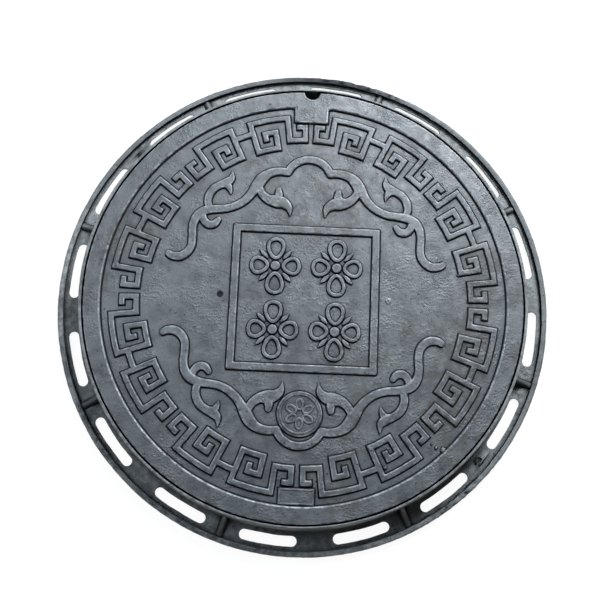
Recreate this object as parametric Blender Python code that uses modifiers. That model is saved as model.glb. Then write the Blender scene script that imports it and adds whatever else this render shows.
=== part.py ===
"""Round cast-iron manhole cover lying in its frame, in metres, with +Z up.

The frame stands on its base at z = 0, centred on the Z axis. A rubber ring lies in
a groove of the frame's seat, and the loose cover rests on that ring, flush with the
top of the frame. The cover's pick notch points to +Y before the cover is turned.
"""

import math

import bmesh
import bpy

# Cover casting
COVER_RADIUS = 0.3485
COVER_TURN = math.radians(-5.0)  # how the loose cover happens to lie in its frame
EDGE_DRAFT = 0.0015  # cover edge and frame bore are this much smaller at the seat
EDGE_CHAMFER = 0.0012
RELIEF_HEIGHT = 0.004  # rim band above the field
RELIEF_DROP = 0.0004  # ornament below the rim band
RELIEF_ROOT = 0.002  # how deep ornament and ribs reach into the plate
PLATE_THICKNESS = 0.010
RIM_BAND_WIDTH = 0.0265
RIM_STEP_SLOPE = 0.0015
SKIRT_WIDTH = 0.017
SKIRT_DRAFT = 0.003

# Pick notch in the cover's edge, with a pry pocket under it
NOTCH_RADIUS = 0.0125
POCKET_WIDTH = 0.044
POCKET_DEPTH = 0.012
POCKET_ROOF = 0.016

# Tab of the rim band, and the plain label block opposite
TAB_WIDTH = 0.055
TAB_REACH = 0.027
BLOCK_GAP = 0.002
BLOCK_DROP = 0.0012

# Ribs under the plate
RIB_COUNT = 8
RIB_THICKNESS = 0.008
RIB_LIFT = 0.002  # rib feet above the cover's foot
HUB_RADIUS = 0.060
MIDDLE_RING_RADIUS = 0.190

# Fret ring: stroke centre lines, as degrees from a module's middle and depth below the outer row
FRET_MODULES = 8
FRET_INSET = 0.0175
FRET_STROKE = 0.0083
FRET_ARC_STEP = 6.0
FRET_CROSSBAR_DEPTH = 0.0172
FRET_HOOK = [(17.9, 0.0172), (20.6, 0.0172), (20.6, 0.0395), (15.1, 0.0395), (15.1, 0.0), (3.2, 0.0)]
FRET_SPIRAL = [(3.2, 0.0502), (10.7, 0.0502), (10.7, 0.0225), (7.0, 0.0225), (7.0, 0.0358)]

# Cloud scrolls: points of one quarter, then the stroke's width as a share of SCROLL_STROKE.
# Places are shares of the free field's radius inside the fret ring.
SCROLL_STROKE = 0.0115
SCROLL_SAMPLES = 3
END_TURNS = [math.radians(turn) for turn in (45.0, 0.0, -45.0)]  # round end of a stroke
ARCH_RADIUS = 0.150
ARCH_MIDDLE = 0.775
ARCH_HALF_ANGLE = math.radians(66.0)
CLOUD = [
    (-0.137, 0.832, 1.0), (-0.200, 0.836, 1.0), (-0.264, 0.818, 1.1), (-0.310, 0.782, 1.25),
    (-0.334, 0.732, 1.25), (-0.362, 0.680, 1.0), (-0.400, 0.632, 1.0), (-0.456, 0.592, 1.0),
    (-0.524, 0.568, 1.0), (-0.594, 0.562, 1.0), (-0.650, 0.552, 1.1), (-0.694, 0.526, 1.2),
    (-0.724, 0.482, 1.1), (-0.734, 0.426, 1.0), (-0.731, 0.372, 1.0), (-0.734, 0.314, 1.0),
    (-0.756, 0.270, 1.05), (-0.800, 0.240, 1.1), (-0.848, 0.240, 1.0), (-0.876, 0.254, 0.85),
]
INNER_LEAF = [
    (-0.330, 0.716, 0.8), (-0.298, 0.670, 0.95), (-0.254, 0.642, 1.1), (-0.204, 0.636, 1.5),
    (-0.156, 0.628, 1.15), (-0.118, 0.594, 0.8), (-0.106, 0.540, 0.08),
]
BUD = [(-0.194, 0.630, 1.2), (-0.189, 0.675, 1.1), (-0.189, 0.696, 0.9)]
OUTER_CURL = [
    (-0.634, 0.560, 0.8), (-0.624, 0.616, 0.85), (-0.616, 0.668, 0.9), (-0.590, 0.712, 0.95),
    (-0.546, 0.740, 1.1), (-0.502, 0.762, 1.1), (-0.474, 0.792, 0.8), (-0.480, 0.822, 0.08),
]
BARB = [(-0.530, 0.752, 0.9), (-0.502, 0.722, 0.7), (-0.478, 0.668, 0.08)]
SMALL_HOOK = [
    (-0.678, 0.524, 0.9), (-0.664, 0.484, 0.95), (-0.634, 0.458, 1.0), (-0.597, 0.462, 0.95),
    (-0.572, 0.492, 0.7),
]

# Square border and round medallion
SQUARE_SIDE = 0.235
SQUARE_BORDER = 0.0115
MEDALLION_RADIUS = 0.034
MEDALLION_HEIGHT = 0.0022
MEDALLION_PLACE = 0.730

# Frame casting
RIM_GAP = 0.003  # between cover edge and frame bore
FRAME_HEIGHT = 0.065
WALL_THICKNESS = 0.0032
WALL_DRAFT = 0.0053
WALL_ROUND = 0.0012
TROUGH_WIDTH = 0.0358
TROUGH_FILLET = 0.004
FLANGE_THICKNESS = 0.008
LIP_WIDTH = 0.0095
LIP_HEIGHT = 0.007  # above the flange
LIP_ROUND = 0.0025
SEAT_DEPTH = 0.034
SEAT_WIDTH = 0.025
SEAT_THICKNESS = 0.009
SEAT_HAUNCH = 0.006  # extra thickness of the seat where it meets the wall

# Slots, gussets and blind anchor sockets of the flange
SLOT_COUNT = 16
SLOT_WIDTH = 0.016
SLOT_LENGTH = 0.091
SLOT_LAND = 0.0065  # flange left between a slot and the lip
SLOT_END_POINTS = 5
GUSSET_COUNT = 8
GUSSET_THICKNESS = 0.008
GUSSET_RISE = 0.028  # up the wall, above the flange
GUSSET_SAG = 0.006
SOCKET_RADIUS = 0.006
SOCKET_DEPTH = 0.006
SOCKET_ANGLES = (math.radians(135.0), math.radians(-45.0))

# Rubber ring in the seat
GASKET_WIDTH = 0.010
GASKET_HEIGHT = 0.007
GASKET_CHAMFER = 0.002
GROOVE_DEPTH = 0.004

FIT_GAP = 0.0003  # between pieces that touch
CUT_MARGIN = 0.005  # how far a cutter reaches past what it cuts
ROUND_STEPS = 80
MERGE = 0.00001
SHARP_ANGLE = math.radians(25.0)

# Levels and radii that follow from the sizes above
cover_top = FRAME_HEIGHT
field_top = cover_top - RELIEF_HEIGHT
plate_under = field_top - PLATE_THICKNESS
relief_top = cover_top - RELIEF_DROP
seat_top = FRAME_HEIGHT - SEAT_DEPTH
groove_floor = seat_top - GROOVE_DEPTH
gasket_foot = groove_floor + FIT_GAP
gasket_top = gasket_foot + GASKET_HEIGHT
cover_foot = gasket_top + FIT_GAP
foot_radius = COVER_RADIUS - EDGE_DRAFT
skirt_radius = foot_radius - SKIRT_WIDTH
band_radius = COVER_RADIUS - RIM_BAND_WIDTH
bore_top_radius = COVER_RADIUS + RIM_GAP
bore_foot_radius = bore_top_radius - EDGE_DRAFT
clear_radius = bore_foot_radius - SEAT_WIDTH
gasket_radius = foot_radius - SKIRT_WIDTH / 2
wall_top_radius = bore_top_radius + WALL_THICKNESS
wall_foot_radius = wall_top_radius + WALL_DRAFT
lip_radius = wall_top_radius + TROUGH_WIDTH
frame_radius = lip_radius + LIP_WIDTH
slot_radius = lip_radius - SLOT_LAND - SLOT_WIDTH / 2
fret_radius = band_radius - FRET_INSET
free_radius = fret_radius - FRET_SPIRAL[0][1] - FRET_STROKE / 2


def polar(radius, angle):
    return (radius * math.cos(angle), radius * math.sin(angle))


def iron_or_rubber(name, colour, roughness, metallic):
    material = bpy.data.materials.new(name)
    material.use_nodes = True
    shader = material.node_tree.nodes["Principled BSDF"]
    shader.inputs["Base Color"].default_value = (*colour, 1.0)
    shader.inputs["Roughness"].default_value = roughness
    shader.inputs["Metallic"].default_value = metallic
    return material


def add_piece(name, mesh, material):
    piece = bpy.data.objects.new(name, mesh)
    piece.data.materials.append(material)
    parts.objects.link(piece)
    return piece


def turned(name, profile, material, ring):
    """A profile of (radius, height) points turned about Z. A ring's profile closes on itself."""
    count = len(profile)
    edges = [(i, (i + 1) % count) for i in range(count if ring else count - 1)]
    mesh = bpy.data.meshes.new(name)
    mesh.from_pydata([(radius, 0.0, height) for radius, height in profile], edges, [])
    piece = add_piece(name, mesh, material)
    screw = piece.modifiers.new("Turn", "SCREW")
    screw.steps = ROUND_STEPS
    screw.render_steps = ROUND_STEPS
    screw.use_merge_vertices = True
    screw.merge_threshold = MERGE
    return piece


def slab(name, outlines, low, high, group):
    """Flat outlines in XY given a thickness from low to high. An outline inside another is a hole."""
    curve = bpy.data.curves.new(name, "CURVE")
    curve.dimensions = "2D"
    curve.fill_mode = "BOTH"
    curve.extrude = (high - low) / 2
    for outline in outlines:
        spline = curve.splines.new("POLY")
        spline.points.add(len(outline) - 1)
        spline.use_cyclic_u = True
        for point, (x, y) in zip(spline.points, outline):
            point.co = (x, y, 0.0, 1.0)
    drawn = bpy.data.objects.new(name, curve)
    bpy.context.scene.collection.objects.link(drawn)
    graph = bpy.context.evaluated_depsgraph_get()
    mesh = bpy.data.meshes.new_from_object(drawn.evaluated_get(graph))
    bpy.data.objects.remove(drawn)
    work = bmesh.new()
    work.from_mesh(mesh)
    bmesh.ops.remove_doubles(work, verts=work.verts, dist=MERGE)
    bmesh.ops.recalc_face_normals(work, faces=work.faces)
    work.to_mesh(mesh)
    work.free()
    helper = bpy.data.objects.new(name, mesh)
    helper.location.z = (low + high) / 2
    return add_helper(helper, group)


def add_helper(helper, group):
    helper.hide_render = True
    helper.display_type = "WIRE"
    group.objects.link(helper)
    return helper


def helper_group(name):
    group = bpy.data.collections.new(name)
    cutters.children.link(group)
    return group


def combine(piece, group, operation):
    """Joins the group's solids to the piece, or cuts them from it, wherever the piece is turned."""
    boolean = piece.modifiers.new(group.name, "BOOLEAN")
    boolean.operation = operation
    boolean.operand_type = "COLLECTION"
    boolean.collection = group
    boolean.solver = "EXACT"
    for helper in group.objects:
        helper.parent = piece


def finish(piece):
    """Makes the piece's modifiers into its mesh, smooth on round walls and sharp at the edges."""
    graph = bpy.context.evaluated_depsgraph_get()
    mesh = bpy.data.meshes.new_from_object(piece.evaluated_get(graph))
    mesh.shade_smooth()
    mesh.set_sharp_from_angle(angle=SHARP_ANGLE)
    piece.modifiers.clear()
    piece.data = mesh


def rectangle(left, right, low, high):
    return [(left, low), (right, low), (right, high), (left, high)]


def circle(radius, x=0.0, y=0.0, count=ROUND_STEPS):
    points = [polar(radius, 2 * math.pi * i / count) for i in range(count)]
    return [(x + px, y + py) for px, py in points]


def smooth_path(points, samples):
    """A curve through the points, each a tuple of numbers, by the Catmull-Rom rule."""
    padded = [points[0]] + list(points) + [points[-1]]
    path = []
    for a, b, c, d in zip(padded, padded[1:], padded[2:], padded[3:]):
        for step in range(samples):
            t = step / samples
            path.append(tuple(
                0.5 * (2 * q + (r - p) * t + (2 * p - 5 * q + 4 * r - s) * t**2
                       + (3 * q - p - 3 * r + s) * t**3)
                for p, q, r, s in zip(a, b, c, d)
            ))
    return path + [points[-1]]


def ribbon(stroke):
    """The outline of a stroke of changing width along a smooth path."""
    path = smooth_path(stroke, SCROLL_SAMPLES)
    left, right = [], []
    for i, (x, y, width) in enumerate(path):
        before, after = path[max(i - 1, 0)], path[min(i + 1, len(path) - 1)]
        along = math.atan2(after[1] - before[1], after[0] - before[0])
        dx, dy = polar(width * SCROLL_STROKE / 2, along + math.pi / 2)
        left.append((x * free_radius + dx, y * free_radius + dy))
        right.append((x * free_radius - dx, y * free_radius - dy))
    blunt = [
        (x * free_radius + ex, y * free_radius + ey)
        for ex, ey in (polar(width * SCROLL_STROKE / 2, along + turn) for turn in END_TURNS)
    ]
    return left + blunt + right[::-1]


def fret_side(walk, side):
    """One side of the stroke along a walk whose legs run round the ring or along a radius."""
    half = side * FRET_STROKE / 2
    legs = list(zip(walk, walk[1:]))
    points = []
    for i, (degrees, depth) in enumerate(walk):
        shift = rise = 0.0
        for (a0, d0), (a1, d1) in legs[max(i - 1, 0):i + 1]:
            if a0 == a1:
                shift = math.copysign(half, half * (d1 - d0))
            else:
                rise = math.copysign(half, half * (a1 - a0))
        radius = fret_radius - depth
        points.append((math.radians(degrees) + shift / radius, radius + rise))
    return points


def arc_steps(points):
    """Adds points along the legs that run far round the ring."""
    stepped = []
    for (a0, r0), (a1, r1) in zip(points, points[1:]):
        count = 1 + int(abs(math.degrees(a1 - a0)) / FRET_ARC_STEP)
        stepped += [(a0 + (a1 - a0) * k / count, r0 + (r1 - r0) * k / count) for k in range(count)]
    return stepped + [points[-1]]


def fret_module():
    """The outline of one module: a hook and a spiral, a crossbar, and their mirror image."""
    walk = FRET_HOOK + FRET_SPIRAL
    inner, outer = fret_side(walk, -1.0), fret_side(walk, 1.0)
    turn = len(FRET_HOOK)
    bar_radius = fret_radius - FRET_CROSSBAR_DEPTH
    bar_angle = inner[turn - 1][0]
    low = (bar_angle, bar_radius - FRET_STROKE / 2)
    high = (bar_angle, bar_radius + FRET_STROKE / 2)
    loop = inner[turn:] + outer[::-1] + inner[:turn]
    half = arc_steps([low] + loop + [high])
    return half + [(-angle, radius) for angle, radius in half[::-1]]


def fret_ring():
    outlines = []
    for k in range(FRET_MODULES):
        middle = math.pi / 2 + 2 * math.pi * (k + 0.5) / FRET_MODULES
        outlines.append([polar(radius, middle + angle) for angle, radius in fret_module()])
    return outlines


def slot_outline(middle):
    """A slot that follows the flange round, with round ends."""
    half_width = SLOT_WIDTH / 2
    half_angle = (SLOT_LENGTH / 2 - half_width) / slot_radius
    outline = []
    for side in (-1, 1):
        end = middle + side * half_angle
        x, y = polar(slot_radius, end)
        for k in range(SLOT_END_POINTS):
            turn = math.pi * k / (SLOT_END_POINTS - 1)
            start = end + math.pi if side < 0 else end
            dx, dy = polar(half_width, start + turn)
            outline.append((x + dx, y + dy))
        bow = half_width * side
        outline.append(polar(slot_radius - bow, middle))
    return outline


for old in list(bpy.data.objects):
    bpy.data.objects.remove(old)
parts = bpy.data.collections.new("manhole_cover")
cutters = bpy.data.collections.new("cutters")
for collection in (parts, cutters):
    bpy.context.scene.collection.children.link(collection)

black_iron = (0.055, 0.060, 0.066)
frame_iron = iron_or_rubber("frame_iron", black_iron, 0.50, 0.3)
cover_iron = iron_or_rubber("cover_iron", black_iron, 0.45, 0.3)
seat_rubber = iron_or_rubber("seat_rubber", (0.02, 0.02, 0.02), 0.85, 0.0)

# Frame: wall, seat with its groove, flange and lip in one turned section
groove_half = GASKET_WIDTH / 2 + FIT_GAP
haunch_radius = bore_foot_radius - EDGE_DRAFT
seat_under = seat_top - SEAT_THICKNESS
lip_top = FLANGE_THICKNESS + LIP_HEIGHT
frame = turned("frame", [
    (bore_top_radius, FRAME_HEIGHT),
    (wall_top_radius - WALL_ROUND, FRAME_HEIGHT),
    (wall_top_radius, FRAME_HEIGHT - WALL_ROUND),
    (wall_foot_radius, FLANGE_THICKNESS + TROUGH_FILLET),
    (wall_foot_radius + TROUGH_FILLET, FLANGE_THICKNESS),
    (lip_radius, FLANGE_THICKNESS),
    (lip_radius, lip_top - LIP_ROUND),
    (lip_radius + LIP_ROUND, lip_top),
    (frame_radius - LIP_ROUND, lip_top),
    (frame_radius, lip_top - LIP_ROUND),
    (frame_radius, 0.0),
    (haunch_radius, 0.0),
    (haunch_radius, seat_under - SEAT_HAUNCH),
    (clear_radius, seat_under),
    (clear_radius, seat_top),
    (gasket_radius - groove_half, seat_top),
    (gasket_radius - groove_half, groove_floor),
    (gasket_radius + groove_half, groove_floor),
    (gasket_radius + groove_half, seat_top),
    (bore_foot_radius, seat_top),
], frame_iron, ring=True)

# Gussets between wall and lip, upright in the middle of every second gap between slots
gussets = helper_group("gussets")
inside_wall = wall_top_radius - WALL_THICKNESS / 2
gusset_span = lip_radius - inside_wall
gusset_top = FLANGE_THICKNESS + GUSSET_RISE
gusset_side = [
    (inside_wall, FLANGE_THICKNESS / 2),
    (lip_radius + LIP_WIDTH / 2, FLANGE_THICKNESS / 2),
    (lip_radius + LIP_WIDTH / 2, lip_top - LIP_ROUND),
    (lip_radius, lip_top - LIP_ROUND),
    (inside_wall + gusset_span * 0.5, (gusset_top + lip_top) / 2 - GUSSET_SAG),
    (inside_wall, gusset_top),
]
for k in range(GUSSET_COUNT):
    gusset = slab(f"gusset_{k + 1}", [gusset_side], -GUSSET_THICKNESS / 2, GUSSET_THICKNESS / 2, gussets)
    gusset.rotation_euler = (math.pi / 2, 0.0, 2 * math.pi * (k + 0.5) / GUSSET_COUNT)

# Slots through the flange, and anchor sockets into it
flange_cuts = helper_group("flange_cuts")
slots = [slot_outline(2 * math.pi * (k + 0.5) / SLOT_COUNT) for k in range(SLOT_COUNT)]
slab("flange_slots", slots, -CUT_MARGIN, FLANGE_THICKNESS + CUT_MARGIN, flange_cuts)
sockets = [circle(SOCKET_RADIUS, *polar(slot_radius, angle), 16) for angle in SOCKET_ANGLES]
slab("anchor_sockets", sockets, FLANGE_THICKNESS - SOCKET_DEPTH, FLANGE_THICKNESS + CUT_MARGIN, flange_cuts)

# Gasket: a rubber ring in the seat's groove
gasket_inner = gasket_radius - GASKET_WIDTH / 2
gasket_outer = gasket_radius + GASKET_WIDTH / 2
gasket = turned("gasket", [
    (gasket_inner + GASKET_CHAMFER, gasket_top),
    (gasket_outer - GASKET_CHAMFER, gasket_top),
    (gasket_outer, gasket_top - GASKET_CHAMFER),
    (gasket_outer, gasket_foot),
    (gasket_inner, gasket_foot),
    (gasket_inner, gasket_top - GASKET_CHAMFER),
], seat_rubber, ring=True)

# Cover: plate, rim band and skirt in one turned section
cover = turned("cover", [
    (0.0, field_top),
    (band_radius - RIM_STEP_SLOPE, field_top),
    (band_radius, cover_top),
    (COVER_RADIUS - EDGE_CHAMFER, cover_top),
    (COVER_RADIUS, cover_top - EDGE_CHAMFER),
    (foot_radius, cover_foot),
    (skirt_radius, cover_foot),
    (skirt_radius - SKIRT_DRAFT, plate_under),
    (0.0, plate_under),
], cover_iron, ring=False)
cover.rotation_euler.z = COVER_TURN

# Ribs under the plate: two rings, and spokes from the hub ring to the skirt
ribs = helper_group("ribs")
rib_low = cover_foot + RIB_LIFT
rib_high = plate_under + RELIEF_ROOT
for name, radius in (("hub_ring", HUB_RADIUS), ("middle_ring", MIDDLE_RING_RADIUS)):
    outlines = [circle(radius + side * RIB_THICKNESS / 2) for side in (1, -1)]
    slab(name, outlines, rib_low, rib_high, ribs)
for k in range(RIB_COUNT):
    spoke = rectangle(HUB_RADIUS, skirt_radius + SKIRT_WIDTH / 2, -RIB_THICKNESS / 2, RIB_THICKNESS / 2)
    spoke = slab(f"spoke_{k + 1}", [spoke], rib_low, rib_high, ribs)
    spoke.rotation_euler.z = 2 * math.pi * (k + 0.5) / RIB_COUNT

# Ornament on the field: fret ring, square border, cloud scrolls and medallion
ornament = helper_group("ornament")
relief_foot = field_top - RELIEF_ROOT
slab("fret_ring", fret_ring(), relief_foot, relief_top, ornament)
half_side = SQUARE_SIDE / 2
inner_side = half_side - SQUARE_BORDER
square = [rectangle(-side, side, -side, side) for side in (half_side, inner_side)]
slab("square_border", square, relief_foot, relief_top, ornament)
arch = [
    (ARCH_RADIUS * math.sin(ARCH_HALF_ANGLE * k / 4),
     ARCH_MIDDLE + ARCH_RADIUS * math.cos(ARCH_HALF_ANGLE * k / 4), 1.0)
    for k in range(-4, 5)
]
for up in (1, -1):
    quarters = {"arch": arch}
    for side, word in ((1, "left"), (-1, "right")):
        for name, stroke in (
            ("cloud", CLOUD), ("inner_leaf", INNER_LEAF), ("bud", BUD),
            ("outer_curl", OUTER_CURL), ("barb", BARB), ("small_hook", SMALL_HOOK),
        ):
            quarters[f"{word}_{name}"] = [(side * x, y, width) for x, y, width in stroke]
    for name, stroke in quarters.items():
        stroke = [(x, up * y, width) for x, y, width in stroke]
        place = "top" if up > 0 else "bottom"
        slab(f"{place}_{name}", [ribbon(stroke)], relief_foot, relief_top, ornament)
medallion = circle(MEDALLION_RADIUS, 0.0, -MEDALLION_PLACE * free_radius, 32)
slab("medallion", [medallion], relief_foot, field_top + MEDALLION_HEIGHT, ornament)

# Tab of the rim band on the notch's side, and the label block on the other
plates = helper_group("plates")
half_tab = TAB_WIDTH / 2
slab("tab", [rectangle(-half_tab, half_tab, band_radius - TAB_REACH, band_radius + RIM_BAND_WIDTH / 2)],
     relief_foot, cover_top, plates)
slab("label_block", [rectangle(-half_tab, half_tab, -band_radius + BLOCK_GAP, -band_radius + TAB_REACH)],
     relief_foot, cover_top - BLOCK_DROP, plates)

# Pick notch down the edge, and the wider pry pocket under it
notch_cuts = helper_group("notch_cuts")
slab("pick_notch", [circle(NOTCH_RADIUS, 0.0, COVER_RADIUS, 24)],
     cover_foot - CUT_MARGIN, cover_top + CUT_MARGIN, notch_cuts)
slab("pry_pocket", [rectangle(-POCKET_WIDTH / 2, POCKET_WIDTH / 2, foot_radius - POCKET_DEPTH,
                              COVER_RADIUS + CUT_MARGIN)],
     cover_foot - CUT_MARGIN, cover_top - POCKET_ROOF, notch_cuts)

# Each casting becomes one solid
for piece, group, operation in (
    (frame, gussets, "UNION"),
    (frame, flange_cuts, "DIFFERENCE"),
    (cover, ribs, "UNION"),
    (cover, ornament, "UNION"),
    (cover, plates, "UNION"),
    (cover, notch_cuts, "DIFFERENCE"),
):
    combine(piece, group, operation)
for piece in (frame, gasket, cover):
    finish(piece)
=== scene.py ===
"""Looks of a round cast-iron manhole cover lying in its frame, in metres, piece by piece."""

import math

import bmesh
import bpy
from mathutils import Matrix, Vector, noise


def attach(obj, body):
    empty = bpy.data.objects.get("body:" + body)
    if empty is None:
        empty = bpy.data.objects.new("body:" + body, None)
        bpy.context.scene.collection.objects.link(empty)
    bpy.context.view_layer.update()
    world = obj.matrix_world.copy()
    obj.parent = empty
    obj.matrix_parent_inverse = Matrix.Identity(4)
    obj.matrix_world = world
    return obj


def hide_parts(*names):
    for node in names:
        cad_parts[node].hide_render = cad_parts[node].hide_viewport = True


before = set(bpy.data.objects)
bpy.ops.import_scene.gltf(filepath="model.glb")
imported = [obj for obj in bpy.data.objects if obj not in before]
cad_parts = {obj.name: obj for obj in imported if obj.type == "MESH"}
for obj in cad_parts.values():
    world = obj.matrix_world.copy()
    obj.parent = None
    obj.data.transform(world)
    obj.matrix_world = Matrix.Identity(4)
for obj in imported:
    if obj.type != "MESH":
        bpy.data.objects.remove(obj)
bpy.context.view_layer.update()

# Frame. One iron casting from a sand mould: an upright wall with a seat inside it, and outside
# it a flange with slots for the bedding mortar, a raised lip and eight fins. It was dipped in
# black bitumen paint while warm, and its edges are a little ragged from the sand.
frame_radius, frame_height = 0.4000, 0.0650
flange_top, slot_radius, slot_width, slot_length = 0.0080, 0.3760, 0.0160, 0.0910
socket_radius, socket_depth, socket_rim, socket_sides = 0.0060, 0.0060, 0.0020, (6, 14)
wall_foot, wall_outer, wall_inner, ridge_top = 0.3600, 0.3534, 0.3509, 0.0649
bore_low, under_bore, seat_edge, seat_top = 0.3502, 0.3485, 0.3250, 0.0310
groove_outer, groove_inner, groove_floor = 0.3438, 0.3332, 0.0270
seat_low, haunch_low, lip_inner, lip_top = 0.0236, 0.0148, 0.3905, 0.0150
foot_round, ridge_round, inner_round, bore_round = 0.0040, 0.0012, 0.0010, 0.0020
lip_round, edge_round, groove_round, groove_bevel = 0.0035, 0.0015, 0.0005, 0.0006
sectors, sector_steps, side_steps = 16, 40, 8
frame_columns = sectors * sector_steps


def bend(x, z, radius, start, end, count=4):
    """Points of a rounded corner about (x, z), between two angles in degrees."""
    turns = [math.radians(start + (end - start) * k / count) for k in range(count + 1)]
    return [(x + radius * math.cos(turn), z + radius * math.sin(turn)) for turn in turns]


def run(start, end, count):
    """Points along a straight run, without its two ends."""
    shares = [k / count for k in range(1, count)]
    return [tuple(a + (b - a) * share for a, b in zip(start, end)) for share in shares]


def new_work():
    """An empty mesh that keeps at each point the wear of its paint and the shade and light painted on it."""
    work = bmesh.new()
    work.verts.layers.float.new("wear_and_painted_light")
    return work


def loop(work, points, rub_and_painted_light=0.0):
    """Adds a ring of points. Its value is above 0 where paint is rubbed thin and where fill light is painted
    on the frame's flange, and below 0 where shade is painted dark.
    """
    wear_and_painted_light = work.verts.layers.float["wear_and_painted_light"]
    verts = [work.verts.new(point) for point in points]
    for vert in verts:
        vert[wear_and_painted_light] = rub_and_painted_light
    return verts


def skin(work, rings, closed=True):
    """Faces between rings that have the same number of points."""
    for low, high in zip(rings, rings[1:]):
        for i in range(len(low) if closed else len(low) - 1):
            j = (i + 1) % len(low)
            work.faces.new((low[i], low[j], high[j], high[i]))


def turned(radius, height, count):
    """Points of a level circle about the middle of the object."""
    turns = [2 * math.pi * i / count for i in range(count)]
    return [(radius * math.cos(turn), radius * math.sin(turn), height) for turn in turns]


def roughen(work, wide, fine):
    """The uneven skin that sand leaves on a casting."""
    bmesh.ops.recalc_face_normals(work, faces=work.faces)
    work.normal_update()
    moves = []
    for vert in work.verts:
        shift = wide * noise.noise(vert.co * 24.0) + fine * noise.noise(vert.co * 150.0)
        moves.append(vert.normal * shift)
    for vert, move in zip(work.verts, moves):
        vert.co += move


def made(name, work, material, body, replaced=()):
    """Turns a finished mesh into a piece that rides on its body."""
    bmesh.ops.recalc_face_normals(work, faces=work.faces)
    mesh = bpy.data.meshes.new(name)
    work.to_mesh(mesh)
    work.free()
    mesh.shade_smooth()
    mesh.materials.append(material)
    piece = bpy.data.objects.new(name, mesh)
    bpy.context.scene.collection.objects.link(piece)
    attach(piece, body)
    if replaced:
        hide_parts(*replaced)
    return piece


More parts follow.
